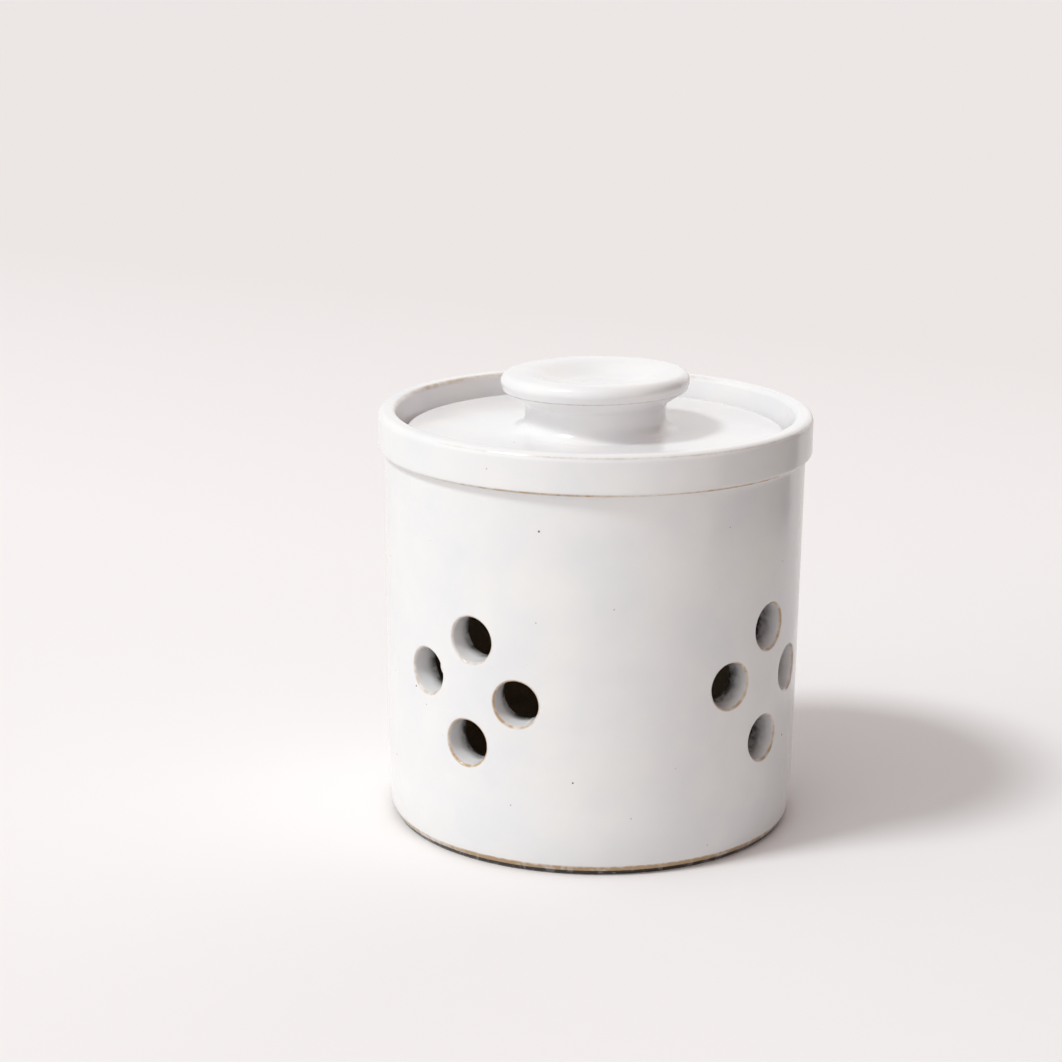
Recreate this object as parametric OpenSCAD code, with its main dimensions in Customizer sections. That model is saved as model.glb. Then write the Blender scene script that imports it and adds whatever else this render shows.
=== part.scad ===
// Garlic keeper: a thrown stoneware jar with punched air holes, a flat lid that sits in the
// gallery inside the rim, and a dished knob luted to the lid.
// Millimetres, +Z up, origin at the middle of the foot on the surface it stands on.
// The four groups of air holes face -Y (the front), +X, +Y and -X.

/* [Jar] */
// Outer diameter of the wall where it meets the rim band
body_d = 129; // [120:0.5:140]
// Height of the jar, from the foot to the top of the rim
jar_h = 128.2; // [115:0.2:150]
// Thickness of the wall
wall_t = 8.1; // [5.5:0.1:9.5]
// Thickness of the floor
floor_t = 7.5; // [5:0.1:12]
// How much the wall's radius grows from the table up to the rim band
wall_flare = 1.1; // [0:0.1:3]
// How far the wall draws in at the foot
tuck_in = 1.4; // [0.4:0.1:3]
// Height over which the wall draws in
tuck_h = 16; // [8:0.5:20]
// Radius between the floor and the wall, inside
floor_round = 9; // [3:0.5:14]

/* [Foot] */
// Height of the bare bevel cut along the bottom edge
bevel_h = 2.8; // [1:0.1:4]
// Width of that bevel, seen from below
bevel_w = 1.2; // [0.5:0.1:3]
// Width of the ring that the jar stands on
ring_w = 8; // [4:0.5:14]
// Height of the hollow turned under the floor
ring_h = 1.8; // [0.8:0.1:3]

/* [Rim] */
// Height of the band round the rim
band_h = 12.2; // [9:0.1:16]
// How far the band stands out from the wall
band_out = 2; // [1.2:0.1:4]
// Rounding along the lower edge of the band
band_round = 1.2; // [0.5:0.1:1.6]
// Rounding of the rim's outer edge
rim_round_out = 2.2; // [1:0.1:2.6]
// Rounding of the rim's inner edge
rim_round_in = 1.8; // [1:0.1:2.4]
// Thickness of the rim beside the lid's edge
rim_t = 7.2; // [6:0.1:9]
// How much wider the gallery is at its mouth than at its ledge, on the radius
gallery_flare = 1.6; // [0:0.1:2]
// Depth of the ledge that carries the lid, below the top of the rim
ledge_drop = 11.8; // [9:0.1:15]
// Width of the ledge
ledge_w = 5; // [3:0.1:8]
// Height of the swelling that carries the ledge, down to the plain wall
collar_h = 11; // [6:0.5:18]

/* [Air holes] */
// Number of hole groups round the jar, four holes in each
groups = 4; // [2:1:6]
// Diameter of a hole through the wall
hole_d = 13.8; // [8:0.2:15]
// Rounding of a hole's outer edge
hole_lip = 0.9; // [0.4:0.1:1.2]
// From the middle of a group to its left and right holes, along the wall
hole_across = 16.3; // [13:0.1:18]
// From the middle of a group to its top and bottom holes
hole_up = 16.5; // [13:0.1:22]
// Height of the middle of a group above the foot
holes_z = 53.4; // [45:0.2:70]
// How far each hole rises inwards from level, in degrees
hole_rise = 5; // [0:1:10]
// How far the group at the front leans clockwise, punched by eye, in degrees
lean_front = 5; // [0:1:8]
// How far the other groups lean clockwise, in degrees
lean_rest = 2; // [0:1:8]

/* [Lid] */
// Gap all round between the lid and the gallery
lid_gap = 1; // [0.5:0.1:2]
// Thickness of the lid at its edge
lid_t = 5.4; // [4:0.1:7]
// Rounding of the lid's upper edge
lid_round = 1.5; // [0.6:0.1:2.4]
// How much the lid rises from its edge to the knob
lid_rise = 0.2; // [0:0.1:4]
// Height of the hollow under the lid
lid_hollow = 1.4; // [0.6:0.1:2.2]
// Width of the flat ring under the lid that sits on the ledge
seat_w = 7; // [5:0.1:10]

/* [Knob] */
// Outer diameter of the knob's rolled edge
knob_d = 57.8; // [48:0.2:70]
// Diameter of the neck under the knob
neck_d = 43.2; // [34:0.2:44]
// Height of the straight stretch of the neck, above the lid's boss
neck_h = 2.1; // [1:0.1:8]
// Radius of the cove between the lid and the neck
cove_r = 4.3; // [1.5:0.1:6]
// Radius of the hollow curve between the neck and the knob's underside
under_r = 3; // [1:0.1:4]
// How steeply the knob's underside rises outwards, in degrees
under_rise = 33; // [20:1:45]
// Radius of the rolled edge of the knob
roll_r = 2.8; // [2:0.1:3.6]
// Height of the knob's edge above its underside
edge_h = 5.3; // [4.2:0.1:8]
// Width of the knob's brim, from its outer edge to the dish in its top
brim_w = 5.9; // [3.8:0.1:8]
// Depth of the dish
dish_depth = 3.8; // [2:0.1:6]
// Diameter of the flat middle of the dish
dish_floor_d = 17; // [4:0.2:28]
// How far the knob leans towards -X, as it was set by hand, in degrees
knob_lean = 1.4; // [0:0.1:3]

/* [Hidden] */
$fn = 96;
arc_n = 6;          // segments in a rounding
hole_n = 48;        // segments round a hole
stub = 4;           // how far a cutter, or what it cuts, runs past the faces that it makes
seam_r = 0.6;       // rounding of small inside corners and ledge edges
// How far each hole of the front and right groups was punched from its mark, along the wall and
// up: the top one first, then right, bottom and left. The other groups are on their marks.
misses = [[[0.1, -0.5], [0.5, 0], [1.4, 0.4], [-0.6, 1.2]],
          [[0.3, 0.2], [-1, 0.6], [-0.1, -1.4], [-0.4, 1.2]]];
edge_in = 0.7;      // how far the knob's edge draws in below its widest line
glaze = "#efedeb";

body_r = body_d / 2;
band_r = body_r + band_out;
band_z = jar_h - band_h;
gallery_r = band_r - rim_t;
ledge_r = gallery_r - ledge_w;
ledge_z = jar_h - ledge_drop;
collar_z = ledge_z - collar_h;
floor_z = ring_h + floor_t;
foot_r = wall_at(bevel_h) - bevel_w;
lid_r = gallery_r - lid_gap;
lid_z = ledge_z + lid_t;
boss_z = lid_z + lid_rise + cove_r;
neck_r = neck_d / 2;
roll_c = knob_d / 2 - roll_r;
neck_z = boss_z + neck_h;
crease_r = knob_d / 2 - edge_in;
under_foot = [neck_r + under_r * (1 - sin(under_rise)), neck_z + under_r * cos(under_rise)];
crease_z = under_foot.y + (crease_r - under_foot.x) * tan(under_rise);
knob_z = crease_z + edge_h;

// Points along an arc, from one angle to another.
function arc(centre, r, from, to, n = arc_n) =
    [for (i = [0:n]) let (a = from + (to - from) * i / n) centre + r * [cos(a), sin(a)]];

// Points along a soft S from one point to another, level with Z at both ends.
function ease(a, b, n) =
    [for (i = [0:n]) let (t = i / n) [a.x + (b.x - a.x) * (1 - cos(180 * t)) / 2, a.y + (b.y - a.y) * t]];

// Radius of the outer wall at a height: a slight flare, drawn in towards the foot.
function wall_at(z) =
    body_d / 2 - wall_flare * (1 - z / (jar_h - band_h)) - tuck_in * pow(max(0, 1 - z / tuck_h), 2);

// Radius of the inner wall at a height, which has the flare but not the tuck.
function inner_at(z) = body_r - wall_t - wall_flare * (1 - z / band_z);

// The half section of the jar, from the middle of its underside round to the middle of its floor.
module jar_section() {
    tuck = [for (i = [0:arc_n]) let (z = bevel_h + (tuck_h - bevel_h) * i / arc_n) [wall_at(z), z]];
    round_z = floor_z + floor_round;
    polygon(concat(
        [[0, ring_h], [foot_r - ring_w - ring_h, ring_h], [foot_r - ring_w, 0], [foot_r, 0]],
        tuck,
        arc([body_r + seam_r, band_z - seam_r], seam_r, 180, 90, 3),
        arc([band_r - band_round, band_z + band_round], band_round, -90, 0),
        arc([band_r - rim_round_out, jar_h - rim_round_out], rim_round_out, 0, 90),
        arc([gallery_r + gallery_flare + rim_round_in, jar_h - rim_round_in], rim_round_in, 90, 180),
        [[gallery_r, ledge_z]],
        arc([ledge_r + seam_r, ledge_z - seam_r], seam_r, 90, 180, 3),
        ease([ledge_r, ledge_z - 2 * seam_r], [inner_at(collar_z), collar_z], 8),
        arc([inner_at(round_z) - floor_round, round_z], floor_round, 0, -90),
        [[0, floor_z]]
    ));
}

// The cutter for one hole, along +X through the wall at a height: a straight bore that flares
// with a round lip where it breaks out of the wall.
module hole_cutter(z) {
    out_r = wall_at(z);
    bore_r = hole_d / 2;
    lip_top = bore_r + hole_lip;
    translate([out_r, 0, z]) rotate([0, hole_rise, 0]) rotate([0, 90, 0]) {
        translate([0, 0, -wall_t - stub]) cylinder(r = bore_r, h = wall_t + 2 * stub, $fn = hole_n);
        rotate_extrude($fn = hole_n) difference() {
            translate([0, -hole_lip]) square([lip_top, hole_lip + stub]);
            translate([lip_top, -hole_lip]) circle(r = hole_lip, $fn = 24);
        }
    }
}

// One group, by its number: four holes in a diamond, leaning to one side as they were punched.
module hole_group(i) {
    lean = i == 0 ? lean_front : lean_rest;
    spots = [[0, hole_up], [hole_across, 0], [0, -hole_up], [-hole_across, 0]];
    for (k = [0:3]) {
        miss = i < len(misses) ? misses[i][k] : [0, 0];
        u = spots[k].x * cos(lean) + spots[k].y * sin(lean) + miss.x;
        v = spots[k].y * cos(lean) - spots[k].x * sin(lean) + miss.y;
        rotate(u / body_r * 180 / PI) hole_cutter(holes_z + v);
    }
}

module jar() {
    color(glaze) difference() {
        rotate_extrude() jar_section();
        for (i = [0:groups - 1])
            rotate(-90 + 360 / groups * i) hole_group(i);
    }
}

// A flat lid with a shallow hollow underneath. Its boss, in the middle, carries the knob.
module lid() {
    seat_r = lid_r - seat_w;
    color(glaze) rotate_extrude() polygon(concat(
        [[0, ledge_z + lid_hollow], [seat_r - lid_hollow, ledge_z + lid_hollow], [seat_r, ledge_z]],
        arc([lid_r - seam_r, ledge_z + seam_r], seam_r, -90, 0, 3),
        arc([lid_r - lid_round, lid_z - lid_round], lid_round, 0, 90),
        arc([neck_r + cove_r, boss_z], cove_r, 270, 180),
        [[0, boss_z]]
    ));
}

// A wide, low knob with a rolled edge and a dished top. Its neck is cut level where it stands on
// the lid's boss, and the rest leans a little.
module knob() {
    dish_z = knob_z - dish_depth;
    // The side of the dish is an S that is level at both ends, so its height and radius trade places.
    dish = [for (p = ease([knob_z, knob_d / 2 - brim_w], [dish_z, dish_floor_d / 2], 8)) [p.y, p.x]];
    section = concat(
        [[0, boss_z - stub], [neck_r, boss_z - stub]],
        arc([neck_r + under_r, neck_z], under_r, 180, 90 + under_rise),
        [[crease_r, crease_z]],
        arc([roll_c, knob_z - roll_r], roll_r, -15, 90, 2 * arc_n),
        dish,
        [[0, dish_z]]
    );
    color(glaze) difference() {
        translate([0, 0, boss_z]) rotate([0, -knob_lean, 0]) translate([0, 0, -boss_z])
            rotate_extrude() polygon(section);
        translate([0, 0, boss_z - 2 * stub]) cylinder(d = knob_d, h = 2 * stub);
    }
}

jar();
lid();
knob();
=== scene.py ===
import math

import bpy
import numpy as np
from mathutils import Matrix, Vector


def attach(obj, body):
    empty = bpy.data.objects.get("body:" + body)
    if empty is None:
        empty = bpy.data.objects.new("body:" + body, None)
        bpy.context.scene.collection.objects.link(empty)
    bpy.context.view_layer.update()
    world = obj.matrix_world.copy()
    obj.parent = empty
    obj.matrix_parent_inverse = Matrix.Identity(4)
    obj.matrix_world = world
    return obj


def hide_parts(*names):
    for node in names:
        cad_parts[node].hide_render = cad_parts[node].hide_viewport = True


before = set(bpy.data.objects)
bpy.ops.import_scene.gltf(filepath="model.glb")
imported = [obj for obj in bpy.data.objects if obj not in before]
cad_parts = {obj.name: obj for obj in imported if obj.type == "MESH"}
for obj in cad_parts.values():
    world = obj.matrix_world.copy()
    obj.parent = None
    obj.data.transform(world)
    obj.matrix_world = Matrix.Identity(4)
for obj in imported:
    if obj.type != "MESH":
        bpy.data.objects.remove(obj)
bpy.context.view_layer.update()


# --- Jar -------------------------------------------------------------------------------------
# A cylinder thrown in white-firing stoneware and glazed white. The rim was folded out into a
# band, with a gallery pressed into it for the lid. Sixteen air holes, in four groups, were
# punched through the leather-hard wall from outside.
WALL_R = 64.5  # where the wall meets the band
JAR_H = 128.2
WALL_T = 8.1
FLARE = 1.1  # how much the wall's radius grows from the table up to the band
TUCK_H = 16.0  # below this the wall draws in to the foot
TUCK_IN = 1.4  # how far it draws in
BAND_R = 66.5
BAND_Z = 116.0
BAND_ROUND = 1.2  # rounding of the band's lower edge
RIM_OUT, RIM_IN = 2.2, 1.8  # rounding of the rim's outer and inner edges
GALLERY_R = 59.3
GALLERY_FLARE = 1.6  # how much wider the gallery is at its mouth
LEDGE_R = 54.3
LEDGE_Z = 116.4
COLLAR_Z = 105.4  # where the swelling under the ledge ends
FLOOR_Z = 9.3
FLOOR_ROUND = 9.0  # between the floor and the wall, inside
BEVEL_H = 2.8
BEVEL_W = 1.2
RING_W = 8.0  # the ring that the jar stands on
RING_H = 1.8  # the hollow turned under the floor
SEAM_R = 0.6  # rounding of small inside corners and ledge edges
HOLE_R = 6.9
LIP_R = 0.9  # rounding of a hole's outer edge
INNER_LIP_R = 0.3
ACROSS = 16.3  # middle of a group to its left and right holes
UP = 16.5  # middle of a group to its top and bottom holes
HOLES_Z = 53.4
HOLE_RISE = math.radians(5)
LEANS = [math.radians(a) for a in (5, 2, 2, 2)]  # how far each group was punched off plumb
SPOTS = np.array([(0, UP), (ACROSS, 0), (0, -UP), (-ACROSS, 0)])
MISSES = np.array([[(0.1, -0.5), (0.5, 0), (1.4, 0.4), (-0.6, 1.2)],  # and each hole off its mark
                   [(0.3, 0.2), (-1, 0.6), (-0.1, -1.4), (-0.4, 1.2)],
                   np.zeros((4, 2)), np.zeros((4, 2))])


def smooth(x, low, high):
    """0 below low, 1 above high, and 3t^2 - 2t^3 in between."""
    t = np.clip((x - low) / (high - low), 0, 1)
    return t * t * (3 - 2 * t)


def profile(r, z, thin=0.0, bare=0.0, toasted=0.0):
    """Rows of radius, height and three traits: how thin the glaze is, how bare the clay is, and how dark
    it is painted, as brown left by the kiln and as painted shade deep in the bores, painted contact
    shade at the foot and a painted reflection on the rim's edge. A trait is 0 for none and 1 for full.
    The material multiplies it by noise, which a trait over 1 makes up for."""
    return np.stack(np.broadcast_arrays(r, z, thin, bare, toasted), -1).astype(float)


def arc(r, z, radius, start, end, steps, thin=0.0, **traits):
    """A rounding: centre plus radius times (cos, sin), from start to end degrees. The glaze is
    thinnest half way round, where it pulls off the edge."""
    a = np.radians(np.linspace(start, end, steps + 1))
    pull = thin * np.sin(np.linspace(0, np.pi, steps + 1)) ** 2
    return profile(r + radius * np.cos(a), z + radius * np.sin(a), pull, **traits)


def line(start, end, steps, **traits):
    """A straight stretch of profile, steps + 1 rows from start to end."""
    t = np.linspace(0, 1, steps + 1)
    return profile(start[0] + t * (end[0] - start[0]), start[1] + t * (end[1] - start[1]), **traits)


def cells(rows, columns, closed=False):
    """The four-cornered faces of a grid, as point numbers. A face points along (the next column)
    x (the next row)."""
    i, j = np.meshgrid(np.arange(rows - 1), np.arange(columns - (not closed)), indexing="ij")
    k = (j + 1) % columns
    return np.stack([i * columns + j, i * columns + k, (i + 1) * columns + k, (i + 1) * columns + j], -1)


def turned(rows, angles, thinnest=None):
    """A profile turned about Z: (r cos a, r sin a, z) for each of its rows and each angle. The glaze may
    have run thin on one side only, given by the angle where it is thinnest, and the third trait keeps to
    the same side, which on the rim's outer edge is partly a painted reflection."""
    r, z = rows[:, :1], rows[:, 1:2]
    points = np.stack([r * np.cos(angles), r * np.sin(angles), z + 0 * angles], -1)
    traits = np.repeat(rows[:, 2:], len(angles), axis=0)
    if thinnest is not None:
        side = smooth(np.cos(angles - math.radians(thinnest)), -0.3, 0.6)
        traits[:, (0, 2)] *= np.tile(side, len(rows))[:, None]
    return points.reshape(-1, 3), traits, cells(len(rows), len(angles), True).reshape(-1, 4)


def joined(name, sheets):
    """One closed piece from sheets of points, glaze traits and faces. Points that fall together
    become one, and a face that loses a side there, as at a pole, becomes a triangle."""
    starts = np.cumsum([0] + [len(s[0]) for s in sheets])[:-1]
    points = np.vstack([s[0] for s in sheets])
    traits = np.vstack([s[1] for s in sheets])
    quads = np.vstack([s[2] + n for s, n in zip(sheets, starts)])
    _, first, back = np.unique(np.round(points, 4) + 0.0, axis=0, return_index=True, return_inverse=True)
    quads = back.reshape(-1)[quads]
    short = quads == np.roll(quads, -1, axis=1)
    narrow = short.any(1)
    tris = quads[narrow][~short[narrow]].reshape(-1, 3)
    mesh = bpy.data.meshes.new(name)
    mesh.from_pydata(points[first] / 1000, [], quads[~narrow].tolist() + tris.tolist())
    for n, trait in enumerate(("thin", "bare", "toasted")):
        mesh.attributes.new(trait, "FLOAT", "POINT").data.foreach_set("value", traits[first, n])
    mesh.shade_smooth()
    mesh.set_sharp_from_angle(angle=math.radians(40))
    piece = bpy.data.objects.new(name, mesh)
    bpy.context.scene.collection.objects.link(piece)
    return piece


def wall_at(z):
    """Radius of the outer wall: a slight straight flare, less a square-law tuck at the foot."""
    return WALL_R - FLARE * (1 - z / BAND_Z) - TUCK_IN * np.maximum(0, 1 - z / TUCK_H) ** 2


def inner_at(z):
    """Radius of the inner wall: the same flare, one wall thickness in."""
    return WALL_R - WALL_T - FLARE * (1 - z / BAND_Z)


UPRIGHT_R = 35.5  # this far from its middle a group no longer leans
LEAN_FADE = 9.0  # the lean dies away over this much before it
MOVED_R, STILL_R = 7.9, 11.3  # round a hole, the clay that moves with it and the clay that doesn't


def on_wall(group, a, b, radius_at, rise=0.0):
    """A point of the wall from its place in a group's own plane, a along the wall and b up from
    the group's middle. The plane leans as the group does, and is upright again at UPRIGHT_R. Each
    hole is shifted with the clay round it, wholly to MOVED_R and less and less to STILL_R."""
    lean = LEANS[group] * smooth(UPRIGHT_R - np.hypot(a, b), 0, LEAN_FADE)
    off = np.hypot(a[..., None] - SPOTS[:, 0], b[..., None] - SPOTS[:, 1])
    held = 1 - smooth(off, MOVED_R, STILL_R)
    shift = held @ MISSES[group]
    z = HOLES_Z + rise + b * np.cos(lean) - a * np.sin(lean) + shift[..., 1]
    angle = (a * np.cos(lean) + b * np.sin(lean) + shift[..., 0]) / WALL_R + (group - 1) * math.pi / 2
    r = radius_at(z)
    return np.stack([r * np.cos(angle), r * np.sin(angle), z], -1)


# The wall is a grid of columns and rows with a square window round each hole, SIDE cells wide.
# The windows of a group have BESIDE cells on each side, BELOW under them and ABOVE over them.
SIDE = 12
BESIDE, BELOW, ABOVE = 14, 9, 25
HALF_A, HALF_B = ACROSS / 2, UP / 2
GROUP_A = WALL_R * math.pi / 4
RISE = WALL_T * math.tan(HOLE_RISE)
WALL_LOW, WALL_HIGH = 14.4, 115.4
CORNER_Z = FLOOR_Z + FLOOR_ROUND
windows_a = np.linspace(-3 * HALF_A, 3 * HALF_A, 3 * SIDE + 1)
windows_b = np.linspace(-3 * HALF_B, 3 * HALF_B, 3 * SIDE + 1)
columns = np.concatenate([np.linspace(-GROUP_A, windows_a[0], BESIDE + 1)[:-1], windows_a,
                          np.linspace(windows_a[-1], GROUP_A, BESIDE + 1)[1:]])
round_jar = np.concatenate([columns[:-1] / WALL_R + g * math.pi / 2 for g in range(4)])


def wall_sheet(group, radius_at, low_z, high_z, rise, inside):
    """A quarter of the outer or inner wall between two heights, without the windows' cells."""
    low, high = low_z - HOLES_Z - rise, high_z - HOLES_Z - rise
    rows = np.concatenate([np.linspace(low, windows_b[0], BELOW + 1)[:-1], windows_b,
                           np.linspace(windows_b[-1], high, ABOVE + 1)[1:]])
    b, a = np.meshgrid(rows, columns, indexing="ij")
    band_a = np.round((columns[1:] + columns[:-1]) / 2 / ACROSS)
    band_b = np.round((rows[1:] + rows[:-1]) / 2 / UP)
    window = np.abs(band_a)[None, :] + np.abs(band_b)[:, None] == 1
    kept = cells(len(rows), len(columns))[~window].reshape(-1, 4)
    points = on_wall(group, a, b, radius_at, rise).reshape(-1, 3)
    traits = np.tile([0.0, inside, inside], (len(points), 1))
    return points, traits, kept[:, ::-1] if inside else kept


FLAT = 4  # rows of a hole's sleeve on the face of the wall, from its window's square to its lip
# Painted shade: past each group's share of the wall its bores are painted dark, partly brown clay and
# partly painted shade deep in the holes.
BROWN_AND_SHADE_FROM = (0.5, 0.15, 0.35, 0.35)  # the share of the wall past which each group's bores brown


def hole_sheet(group, across, up):
    """One air hole, as a sleeve on two parameters: round the hole, and along a path that starts on
    the window's square in the outer wall, rounds the lip, follows the straight bore through the
    wall, and ends on the window's square in the inner wall. A point is a blend, by depth, of the
    point above it on the outer wall and the one below it on the inner wall."""
    turn = np.radians(np.arange(4 * SIDE) * 90 / SIDE - 45)
    step = np.linspace(-1, 1, SIDE + 1)[:-1]
    side = np.ones(SIDE)
    square_a = np.concatenate([side, -step, -side, step]) * HALF_A
    square_b = np.concatenate([step, side, -step, -side]) * HALF_B
    lip = np.radians(np.linspace(0, 90, 9))[1:]
    far = np.radians(np.linspace(90, 0, 4))
    bore = np.linspace(LIP_R, WALL_T - INNER_LIP_R, 9)[1:-1]
    widest, widest_in = HOLE_R + LIP_R, HOLE_R + INNER_LIP_R
    radius = np.concatenate([np.full(FLAT, widest), widest - LIP_R * np.sin(lip),
                             np.full(len(bore), HOLE_R), widest_in - INNER_LIP_R * np.sin(far),
                             np.full(FLAT - 1, widest_in)])[:, None]
    depth = np.concatenate([np.zeros(FLAT), LIP_R * (1 - np.cos(lip)), bore,
                            WALL_T - INNER_LIP_R * (1 - np.cos(far)), np.full(FLAT - 1, WALL_T)])
    depth = depth[:, None] / WALL_T
    square_out = np.zeros_like(radius)
    square_out[:FLAT, 0] = np.linspace(1, 0, FLAT)
    square_in = square_out[::-1]
    thin = np.zeros_like(radius)
    thin[FLAT:FLAT + len(lip), 0] = np.sin(2 * lip)
    x, y = radius * np.cos(turn), radius * np.sin(turn)
    a_out = WALL_R * np.arcsin(x / wall_at(HOLES_Z + up))
    a_in = WALL_R * np.arcsin(x / inner_at(HOLES_Z + up))
    outer = on_wall(group, across + a_out + square_out * (square_a - a_out),
                    up + y + square_out * (square_b - y), wall_at)
    inner = on_wall(group, across + a_in + square_in * (square_a - a_in),
                    up + y + square_in * (square_b - y), inner_at, RISE)
    points = outer + depth[..., None] * (inner - outer)
    # The third trait paints the bores darker with depth, as brown clay and as painted shade deep in the
    # holes.
    traits = np.hstack([thin, square_in > 0, smooth(depth, BROWN_AND_SHADE_FROM[group], 1)])
    traits = np.repeat(traits, len(turn), axis=0)
    return points.reshape(-1, 3), traits, cells(len(radius), len(turn), True).reshape(-1, 4)


# The half sections run from the middle of the underside, up the outside, and down the inside to
# the middle of the floor, without the pierced stretch of the wall, which has its own sheets.
# A corner is softened by rows some tenths of a millimetre before and after it.
edge_r = float(wall_at(BEVEL_H))
foot_r = edge_r - BEVEL_W
tuck_z = np.linspace(BEVEL_H + 0.5, WALL_LOW, 9)
foot = np.concatenate([
    line((0, RING_H), (foot_r - RING_W - RING_H, RING_H), 6, bare=1),
    line((foot_r - RING_W, 0), (foot_r - 0.4, 0), 3, bare=1),
    # Painted contact shade: the lower bevel is painted near-black brown, partly a scorched edge of the
    # clay and partly the shade under the foot where it meets the table.
    line((foot_r, 0.3), (foot_r + 0.5, 1.4), 3, thin=1, toasted=1.4),
    line((foot_r + 0.6, 1.6), (edge_r - 0.1, BEVEL_H - 0.2), 3, thin=1.5),
    profile(wall_at(tuck_z), tuck_z),
])
outer_round = (BAND_R - RIM_OUT, JAR_H - RIM_OUT, RIM_OUT)
inner_round = (GALLERY_R + GALLERY_FLARE + RIM_IN, JAR_H - RIM_IN, RIM_IN)
top_r = BAND_R - 3  # on the rim's flat top, where its outer and inner sheets meet
rim = np.concatenate([
    profile(wall_at(WALL_HIGH), [WALL_HIGH]),
    arc(WALL_R + SEAM_R, WALL_HIGH, SEAM_R, 180, 90, 4)[1:],
    arc(BAND_R - BAND_ROUND, BAND_Z + BAND_ROUND, BAND_ROUND, -90, 0, 8, thin=1.1),
    line((BAND_R, BAND_Z + BAND_ROUND + 1), (BAND_R, JAR_H - RIM_OUT - 0.6), 8),
    arc(*outer_round, 0, 16, 3),
    # The faint brown here, on one side only, is partly a painted reflection of the black card on the
    # rim's edge, over the tan of the thin glaze.
    arc(*outer_round, 22, 50, 5, thin=0.5, toasted=0.04),
    arc(*outer_round, 56, 90, 5),
    line((BAND_R - RIM_OUT - 0.4, JAR_H), (top_r, JAR_H), 1),
])
mouth = np.concatenate([
    line((top_r, JAR_H), (inner_round[0] + 0.4, JAR_H), 1),
    arc(*inner_round, 90, 180, 9, thin=0.9),
    line((GALLERY_R + GALLERY_FLARE - 0.1, JAR_H - RIM_IN - 0.6), (GALLERY_R + 0.05, LEDGE_Z + 0.5), 8),
    line((GALLERY_R, LEDGE_Z + 0.2), (GALLERY_R - 0.3, LEDGE_Z), 2, thin=0.8),
    line((GALLERY_R - 0.6, LEDGE_Z), (LEDGE_R + SEAM_R + 0.1, LEDGE_Z), 4, bare=1),
    arc(LEDGE_R + SEAM_R, LEDGE_Z - SEAM_R, SEAM_R, 90, 180, 4, bare=1),
])
swell = np.linspace(0, 1, 14)
swell_r = LEDGE_R + (inner_at(COLLAR_Z) - LEDGE_R) * (1 - np.cos(np.pi * swell)) / 2
swell_top = LEDGE_Z - 2 * SEAM_R
swell_z = swell_top + (COLLAR_Z - swell_top) * swell
collar = profile(swell_r, swell_z, bare=1, toasted=smooth(swell, 0, 0.6))
corner_r = inner_at(CORNER_Z) - FLOOR_ROUND
corner = arc(corner_r, CORNER_Z, FLOOR_ROUND, 0, -90, 9, bare=1, toasted=1)
floor = line((corner_r - 0.3, FLOOR_Z), (0, FLOOR_Z), 8, bare=1, toasted=1)

RIM_THINNEST, MOUTH_THINNEST = -12, 173  # degrees from +X towards +Y
sheets = [turned(foot, round_jar),
          turned(rim, round_jar, RIM_THINNEST),
          turned(mouth, round_jar, MOUTH_THINNEST),
          turned(np.concatenate([mouth[-1:], collar]), round_jar),
          turned(np.concatenate([corner, floor]), round_jar)]
for group in range(4):
    sheets.append(wall_sheet(group, wall_at, WALL_LOW, WALL_HIGH, 0, 0))
    sheets.append(wall_sheet(group, inner_at, CORNER_Z, COLLAR_Z, RISE, 1))
    for across, up in SPOTS:
        sheets.append(hole_sheet(group, across, up))
jar = joined("glazed_jar", sheets)
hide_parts("jar")
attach(jar, "jar")


def linear(code):
    """An sRGB hex colour as linear red, green, blue and alpha."""
    c = np.array([int(code[i:i + 2], 16) for i in (1, 3, 5)]) / 255
    return (*np.where(c <= 0.04045, c / 12.92, ((c + 0.055) / 1.055) ** 2.4), 1.0)


def add(tree, kind, settings, links=()):
    """Adds one node. A setting is a property of it, or the value of an input by name or number,
    and a link joins one of its inputs to another node's output."""
    node = tree.nodes.new("ShaderNode" + kind)
    for key, value in settings.items():
        if hasattr(node, str(key)):
            setattr(node, key, value)
        else:
            node.inputs[key].default_value = value
    for key, output in dict(links).items():
        tree.links.new(output, node.inputs[key])
    return node


# White satin-gloss stoneware glaze over a buff clay. It is opaque and even on the flats, breaks to the
# tan body on edges where it ran thin in the kiln, darkens down the bores of the holes as brown clay and
# painted shade, and carries a few iron specks. The foot's lower bevel is painted dark as contact shade,
# and a faint painted reflection darkens one side of the rim's outer edge. The foot, the seat of the lid
# and the inside are bare clay.
glaze = bpy.data.materials.new("white_stoneware_glaze")
glaze.use_nodes = True
tree = glaze.node_tree
tree.nodes.clear()
# A Mix node of colours mixes inputs 6 and 7 into output 2, and one of numbers mixes 2 and 3 into
# output 0. Input 0 is the share of the second.
place = add(tree, "TexCoord", {}).outputs["Object"]
thin = add(tree, "Attribute", {"attribute_name": "thin"}).outputs["Fac"]
bare = add(tree, "Attribute", {"attribute_name": "bare"}).outputs["Fac"]
toasted = add(tree, "Attribute", {"attribute_name": "toasted"}).outputs["Fac"]

# Clouding of the glaze over about 20 mm.
cloud = add(tree, "TexNoise", {"Scale": 50.0, "Detail": 3.0}, {"Vector": place}).outputs["Fac"]
cloud = add(tree, "MapRange", {"From Min": 0.35, "From Max": 0.65}, {"Value": cloud}).outputs["Result"]
colour = add(tree, "Mix", {"data_type": "RGBA", 6: linear("#f2f0ef"), 7: linear("#ecebed")},
             {0: cloud}).outputs[2]

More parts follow.
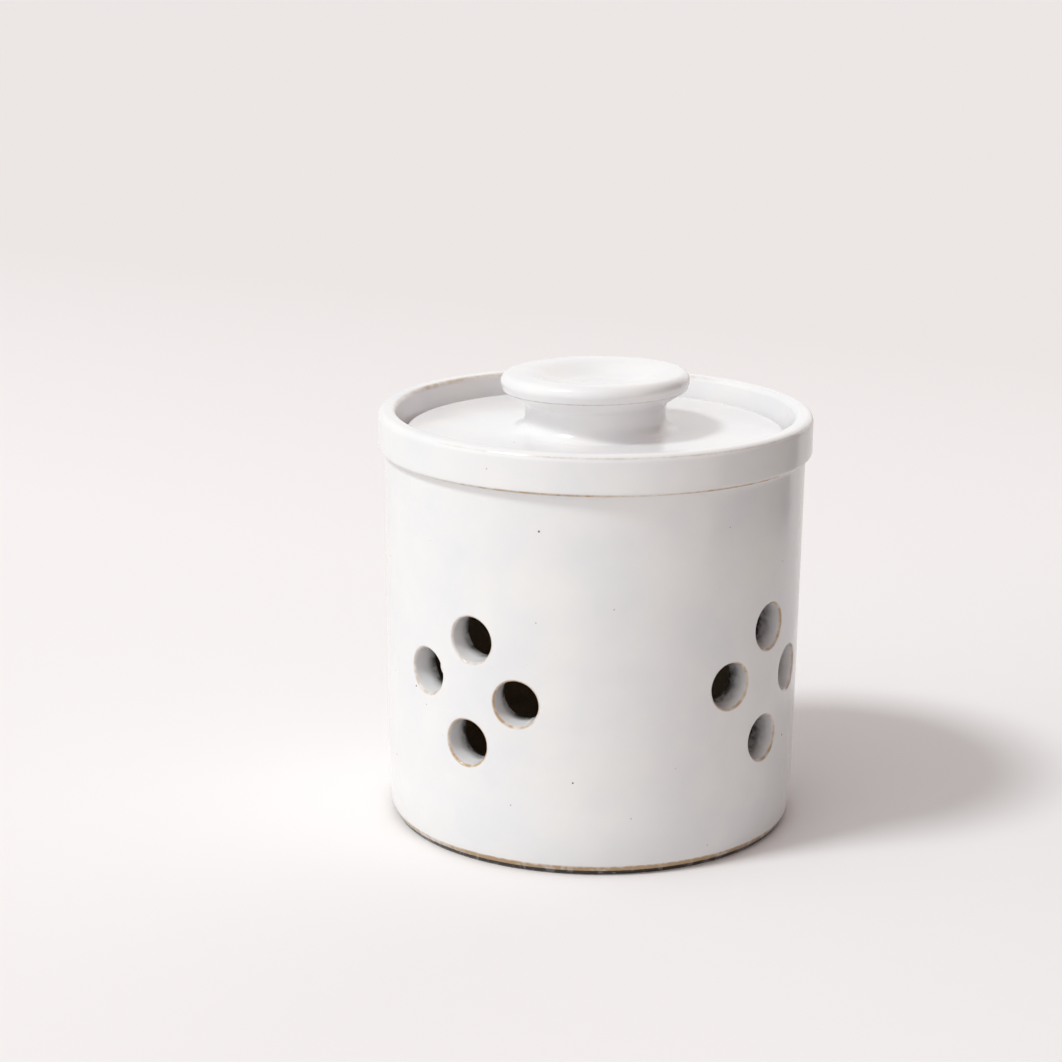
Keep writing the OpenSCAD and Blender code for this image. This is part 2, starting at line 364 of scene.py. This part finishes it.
# The glaze pulls off the edges unevenly, over about 2 mm and again over about 30 mm, and shows
# the clay where it is thinnest.
fine = add(tree, "TexNoise", {"Scale": 420.0, "Detail": 2.0}, {"Vector": place}).outputs["Fac"]
fine = add(tree, "MapRange", {"From Min": 0.38, "From Max": 0.6, "To Min": 0.6},
           {"Value": fine}).outputs[0]
broad = add(tree, "TexNoise", {"Scale": 35.0, "Detail": 2.0}, {"Vector": place}).outputs["Fac"]
broad = add(tree, "MapRange", {"From Min": 0.38, "From Max": 0.6, "To Min": 0.45},
            {"Value": broad}).outputs[0]
thin = add(tree, "Math", {"operation": "MULTIPLY"}, {0: thin, 1: fine}).outputs[0]
thin = add(tree, "Math", {"operation": "MULTIPLY"}, {0: thin, 1: broad}).outputs[0]
thin = add(tree, "MapRange", {"From Min": 0.08, "From Max": 0.9}, {"Value": thin}).outputs[0]
colour = add(tree, "Mix", {"data_type": "RGBA", 7: linear("#bb9b76")}, {0: thin, 6: colour}).outputs[2]
# Painted shade: the third trait mixes in near-black brown, which is real brown on edges and down the
# bores, and also painted shade deep in the bores, painted contact shade on the foot's lower bevel and a
# faint painted reflection on the rim's outer edge.
dark_brown_and_shade = add(tree, "Math", {"operation": "MULTIPLY"}, {0: toasted, 1: fine}).outputs[0]
colour = add(tree, "Mix", {"data_type": "RGBA", 7: linear("#2e2721")}, {0: dark_brown_and_shade, 6: colour}).outputs[2]

# Iron specks, about 0.5 mm across and one to every twenty square centimetres, and rather more
# faint ones that are smaller. A speck is full to its radius and gone at SPECK_FADE times that.
SPECK_FADE = 1.7
for scale, size, shade in ((95.0, 0.022, "#54473e"), (120.0, 0.02, "#b9b0a6")):
    speck = add(tree, "TexVoronoi", {"Scale": scale}, {"Vector": place}).outputs["Distance"]
    speck = add(tree, "MapRange", {"From Min": size, "From Max": size * SPECK_FADE,
                                    "To Min": 1.0, "To Max": 0.0}, {"Value": speck}).outputs[0]
    colour = add(tree, "Mix", {"data_type": "RGBA", 7: linear(shade)}, {0: speck, 6: colour}).outputs[2]

# Bare clay: buff at the foot and toasted inside, with a sandy grain of about 0.6 mm.
grain = add(tree, "TexNoise", {"Scale": 1500.0, "Detail": 3.0}, {"Vector": place}).outputs["Fac"]
clay = add(tree, "Mix", {"data_type": "RGBA", 6: linear("#cdb596"), 7: linear("#bcae9c")},
           {0: toasted}).outputs[2]
sandy = add(tree, "Mix", {"data_type": "RGBA", "blend_type": "MULTIPLY", 7: linear("#c9b9a6")},
            {0: grain, 6: clay}).outputs[2]
ragged = add(tree, "Math", {"operation": "MULTIPLY_ADD", 1: 0.5, 2: -0.25}, {0: grain}).outputs[0]
ragged = add(tree, "Math", {"operation": "ADD"}, {0: bare, 1: ragged}).outputs[0]
ragged = add(tree, "MapRange", {"From Min": 0.4, "From Max": 0.6}, {"Value": ragged}).outputs[0]
colour = add(tree, "Mix", {"data_type": "RGBA"}, {0: ragged, 6: colour, 7: sandy}).outputs[2]
roughness = add(tree, "MapRange", {"To Min": 0.16, "To Max": 0.9}, {"Value": ragged}).outputs[0]

# The glaze has a faint orange peel of about 1.5 mm, and the clay shows its grain.
peel = add(tree, "TexNoise", {"Scale": 650.0, "Detail": 1.0}, {"Vector": place}).outputs["Fac"]
height = add(tree, "Mix", {"data_type": "FLOAT"}, {0: ragged, 2: peel, 3: grain}).outputs[0]
bump = add(tree, "Bump", {"Strength": 0.25, "Distance": 0.0001}, {"Height": height}).outputs[0]

# Low waves left by the thrower's hands, about 15 mm from one to the next up the wall and three
# times that round it.
wide = add(tree, "Mapping", {"Scale": (0.33, 0.33, 1.0)}, {"Vector": place}).outputs[0]
waves = add(tree, "TexNoise", {"Scale": 65.0, "Detail": 1.0}, {"Vector": wide}).outputs["Fac"]
bump = add(tree, "Bump", {"Distance": 0.0003}, {"Height": waves, "Normal": bump}).outputs[0]
shader = add(tree, "BsdfPrincipled", {"IOR": 1.5},
             {"Base Color": colour, "Roughness": roughness, "Normal": bump})
add(tree, "OutputMaterial", {}, {"Surface": shader.outputs[0]})
jar.data.materials.append(glaze)


# --- Lid -------------------------------------------------------------------------------------
# A flat lid thrown in the same clay, turned to a flat seat underneath and dropped loose into the
# gallery. Its boss was left in the middle to take the knob. Glazed on top, bare underneath.
LID_R = 58.3
LID_T = 5.4
LID_Z = LEDGE_Z + LID_T
LID_ROUND = 1.5  # rounding of its upper edge
LID_HOLLOW = 1.4  # height of the hollow under it
SEAT_W = 7.0  # the flat ring under it that sits on the ledge
BOSS_Z = 126.3
NECK_R = 21.6
COVE_R = 4.3
LID_COLUMNS = 192  # round the lid, and round the knob
round_lid = np.linspace(0, 2 * np.pi, LID_COLUMNS + 1)[:-1]
hollow_z = LEDGE_Z + LID_HOLLOW
lid_rows = np.concatenate([
    line((0, hollow_z), (LID_R - SEAT_W - LID_HOLLOW, hollow_z), 6, bare=1),
    line((LID_R - SEAT_W, LEDGE_Z), (LID_R - SEAM_R - 0.1, LEDGE_Z), 3, bare=1),
    arc(LID_R - SEAM_R, LEDGE_Z + SEAM_R, SEAM_R, -90, 0, 4, thin=0.5, bare=0.5),
    line((LID_R, LEDGE_Z + 1), (LID_R, LID_Z - LID_ROUND - 0.2), 3),
    arc(LID_R - LID_ROUND, LID_Z - LID_ROUND, LID_ROUND, 0, 90, 8, thin=0.3),
    line((LID_R - LID_ROUND - 0.4, LID_Z), (NECK_R + COVE_R + 0.3, BOSS_Z - COVE_R), 16),
    arc(NECK_R + COVE_R, BOSS_Z, COVE_R, 270, 180, 12),
    line((NECK_R - 0.2, BOSS_Z), (0, BOSS_Z), 3),
])
lid = joined("glazed_lid", [turned(lid_rows, round_lid)])
lid.data.materials.append(glaze)
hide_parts("lid")
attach(lid, "lid")


# --- Knob ------------------------------------------------------------------------------------
# A wide low knob thrown on its own, with a rolled edge, a sharp turned crease under it and a
# dished top. It was luted to the lid's boss by eye, so it leans a little towards -X.
SUNK = 1.0  # how far the neck runs down into the boss, so that no gap shows where it leans
NECK_H = 2.1  # the straight stretch above the boss
UNDER_R = 3.0  # the hollow curve from the neck out to the underside
UNDER_RISE = 33  # how steeply the underside rises outwards, in degrees
UNDER = (23.3, 131.13)  # radius and height where it starts, 0.4 mm past that curve
CREASE = (28.2, 134.315)
ROLL_C = (26.1, 136.815)  # middle of the rolled edge
ROLL_R = 2.8
ROLL_FROM = -15  # where the roll starts, above the crease, in degrees
KNOB_Z = 139.615
DISH_R = 23.0
DISH_FLOOR_R = 8.5
DISH_DEPTH = 3.8
LEAN = math.radians(1.4)
dish = np.linspace(0, 1, 15)
dish_r = DISH_R + (DISH_FLOOR_R - DISH_R) * dish
dish_z = KNOB_Z - DISH_DEPTH * (1 - np.cos(np.pi * dish)) / 2
roll_start = (ROLL_C[0] + ROLL_R * math.cos(math.radians(ROLL_FROM)),
              ROLL_C[1] + ROLL_R * math.sin(math.radians(ROLL_FROM)))
knob_rows = np.concatenate([
    line((0, BOSS_Z - SUNK), (NECK_R, BOSS_Z - SUNK), 2),
    line((NECK_R, BOSS_Z - SUNK + 0.2), (NECK_R, BOSS_Z + NECK_H - 0.1), 4),
    arc(NECK_R + UNDER_R, BOSS_Z + NECK_H, UNDER_R, 180, 90 + UNDER_RISE, 8),
    line(UNDER, (CREASE[0] - 0.3, CREASE[1] - 0.2), 6),
    line(CREASE, CREASE, 0, thin=0.6, toasted=0.35),
    line((CREASE[0] + 0.12, CREASE[1] + 0.3), (roll_start[0] - 0.1, roll_start[1] - 0.3), 3),
    arc(*ROLL_C, ROLL_R, ROLL_FROM, 90, 16),
    profile(dish_r, dish_z),
    line((DISH_FLOOR_R - 2, KNOB_Z - DISH_DEPTH), (0, KNOB_Z - DISH_DEPTH), 4),
])
points, traits, faces = turned(knob_rows, round_lid)
x, z = points[:, 0], points[:, 2] - BOSS_Z
points = np.stack([x * math.cos(LEAN) - z * math.sin(LEAN), points[:, 1],
                   BOSS_Z + x * math.sin(LEAN) + z * math.cos(LEAN)], 1)
knob = joined("glazed_knob", [(points, traits, faces)])
knob.data.materials.append(glaze)
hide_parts("knob")
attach(knob, "lid")


# --- Studio ----------------------------------------------------------------------------------
# In metres: a matt off-white table top that runs out of sight, one soft lamp high on the left,
# and a pale room that is brighter towards the left and behind the jar. A black card stands out
# of the picture on the right. The camera stands 35 degrees round from the front towards +X.
CAMERA_TURN = math.radians(35)
camera_data = bpy.data.cameras.new("camera")
camera = bpy.data.objects.new("camera", camera_data)
bpy.context.scene.collection.objects.link(camera)
bpy.context.scene.camera = camera
# The lens, place and turn at which the foot, the band, the rim, the lid and the sides of the wall
# fall where the picture has them. Angles in radians.
camera_data.lens = 88.136
camera_data.sensor_width = 36
distance, height = 0.780129, 0.291535
pitch, yaw, roll = 0.2541248, 0.0248342, 0.00990152
forward = Vector((-math.sin(yaw) * math.cos(pitch), math.cos(yaw) * math.cos(pitch), -math.sin(pitch)))
right = Vector((math.cos(yaw), math.sin(yaw), 0))
up = right.cross(forward)
side_on = math.cos(roll) * right + math.sin(roll) * up
upright = math.cos(roll) * up - math.sin(roll) * right
looks = Matrix((side_on, upright, -forward)).transposed().to_4x4()
looks.translation = Vector((0, -distance, height))
camera.matrix_world = Matrix.Rotation(CAMERA_TURN, 4, "Z") @ looks


def towards(azimuth, elevation):
    """The direction to something in the studio: degrees from the camera towards the picture's
    right, and degrees up."""
    a, e = math.radians(azimuth), math.radians(elevation)
    seen = Vector((math.sin(a) * math.cos(e), -math.cos(a) * math.cos(e), math.sin(e)))
    return Matrix.Rotation(CAMERA_TURN, 3, "Z") @ seen


def staged(name, points, faces, material):
    """One surface of the studio, in metres."""
    mesh = bpy.data.meshes.new(name)
    mesh.from_pydata(points, [], faces)
    mesh.materials.append(material)
    surface = bpy.data.objects.new(name, mesh)
    bpy.context.scene.collection.objects.link(surface)
    return surface


# The camera and the glaze's reflections see the table in the first two colours, from the one near the
# jar to the one far behind it on the right, which is darker as painted shade where the table falls into
# less light. It gives light back as the third.
TABLE_HALF = 8
FAR_SIDE = 150  # degrees from the camera
matt_white = bpy.data.materials.new("matt_white_table")
matt_white.use_nodes = True
tree = matt_white.node_tree
tree.nodes.clear()
path = add(tree, "LightPath", {}).outputs
seen = add(tree, "Math", {"operation": "MAXIMUM"},
           {0: path["Is Camera Ray"], 1: path["Is Glossy Ray"]}).outputs[0]
place = add(tree, "TexCoord", {}).outputs["Object"]
# Painted shade: the table darkens towards the far side on the right.
far_shade = add(tree, "VectorMath", {"operation": "DOT_PRODUCT", 1: towards(FAR_SIDE, 0)},
           {0: place}).outputs["Value"]
far_shade = add(tree, "MapRange", {"From Min": 0.2, "From Max": 0.8}, {"Value": far_shade}).outputs[0]
colour = add(tree, "Mix", {"data_type": "RGBA", 6: linear("#f4f1f1"), 7: linear("#e8e4e4")},
             {0: far_shade}).outputs[2]
colour = add(tree, "Mix", {"data_type": "RGBA", 6: linear("#dddbd9")}, {0: seen, 7: colour}).outputs[2]
shader = add(tree, "BsdfDiffuse", {}, {"Color": colour})
add(tree, "OutputMaterial", {}, {"Surface": shader.outputs[0]})
table_corners = TABLE_HALF * np.array([(-1, -1, 0), (1, -1, 0), (1, 1, 0), (-1, 1, 0)], float)
staged("table_top", table_corners, [(0, 1, 2, 3)], matt_white)

# A curved card round the right of the jar, for the dark reflection high on its wall. The camera
# doesn't see it.
CARD_R, CARD_H = 0.41, 0.36
CARD_FROM, CARD_TO = 61, 125  # degrees from the camera
CARD_SIDES = 18
matt_black = bpy.data.materials.new("matt_black_card")
matt_black.use_nodes = True
tree = matt_black.node_tree
tree.nodes.clear()
shader = add(tree, "BsdfDiffuse", {"Color": (0.02, 0.018, 0.016, 1.0)})
add(tree, "OutputMaterial", {}, {"Surface": shader.outputs[0]})
card_turns = np.linspace(CARD_FROM, CARD_TO, CARD_SIDES + 1)
card_foot = np.array([towards(a, 0) for a in card_turns]) * CARD_R
card = staged("black_card", np.concatenate([card_foot, card_foot + (0, 0, CARD_H)]),
              cells(2, CARD_SIDES + 1).reshape(-1, 4).tolist(), matt_black)
card.visible_camera = False

softbox_data = bpy.data.lights.new("softbox", "SUN")
softbox_data.energy = 1.48
softbox_data.color = (0.945, 1.0, 0.995)
softbox_data.angle = math.radians(12)
softbox = bpy.data.objects.new("softbox", softbox_data)
bpy.context.scene.collection.objects.link(softbox)
softbox.rotation_mode = "QUATERNION"
softbox.rotation_quaternion = towards(-62, 53.5).to_track_quat("Z", "Y")

# The room gives an even light and three broad glows, GLOW_UP degrees up. A glow is its colour
# times a power of the cosine of the angle from its middle, and ends 90 degrees from it.
GLOW_UP = 15
room = bpy.data.worlds.new("pale_room")
bpy.context.scene.world = room
room.use_nodes = True
tree = room.node_tree
tree.nodes.clear()
way = add(tree, "TexCoord", {}).outputs["Generated"]
shader = add(tree, "Background", {"Color": (0.415, 0.335, 0.315, 1.0)})
for azimuth, power, light in ((-45, 2.0, (0.77, 0.89, 0.93, 1.0)), (180, 2.0, (0.36, 0.45, 0.47, 1.0)),
                              (150, 8.0, (0.72, 0.71, 0.7, 1.0))):
    middle = towards(azimuth, GLOW_UP)
    facing = add(tree, "VectorMath", {"operation": "DOT_PRODUCT", 1: middle}, {0: way}).outputs["Value"]
    facing = add(tree, "Math", {"operation": "MAXIMUM", 1: 0.0}, {0: facing}).outputs[0]
    glow = add(tree, "Math", {"operation": "POWER", 1: power}, {0: facing}).outputs[0]
    side = add(tree, "Background", {"Color": light}, {"Strength": glow})
    shader = add(tree, "AddShader", {}, {0: shader.outputs[0], 1: side.outputs[0]})
add(tree, "OutputWorld", {}, {"Surface": shader.outputs[0]})

bpy.context.scene.view_settings.view_transform = "Standard"
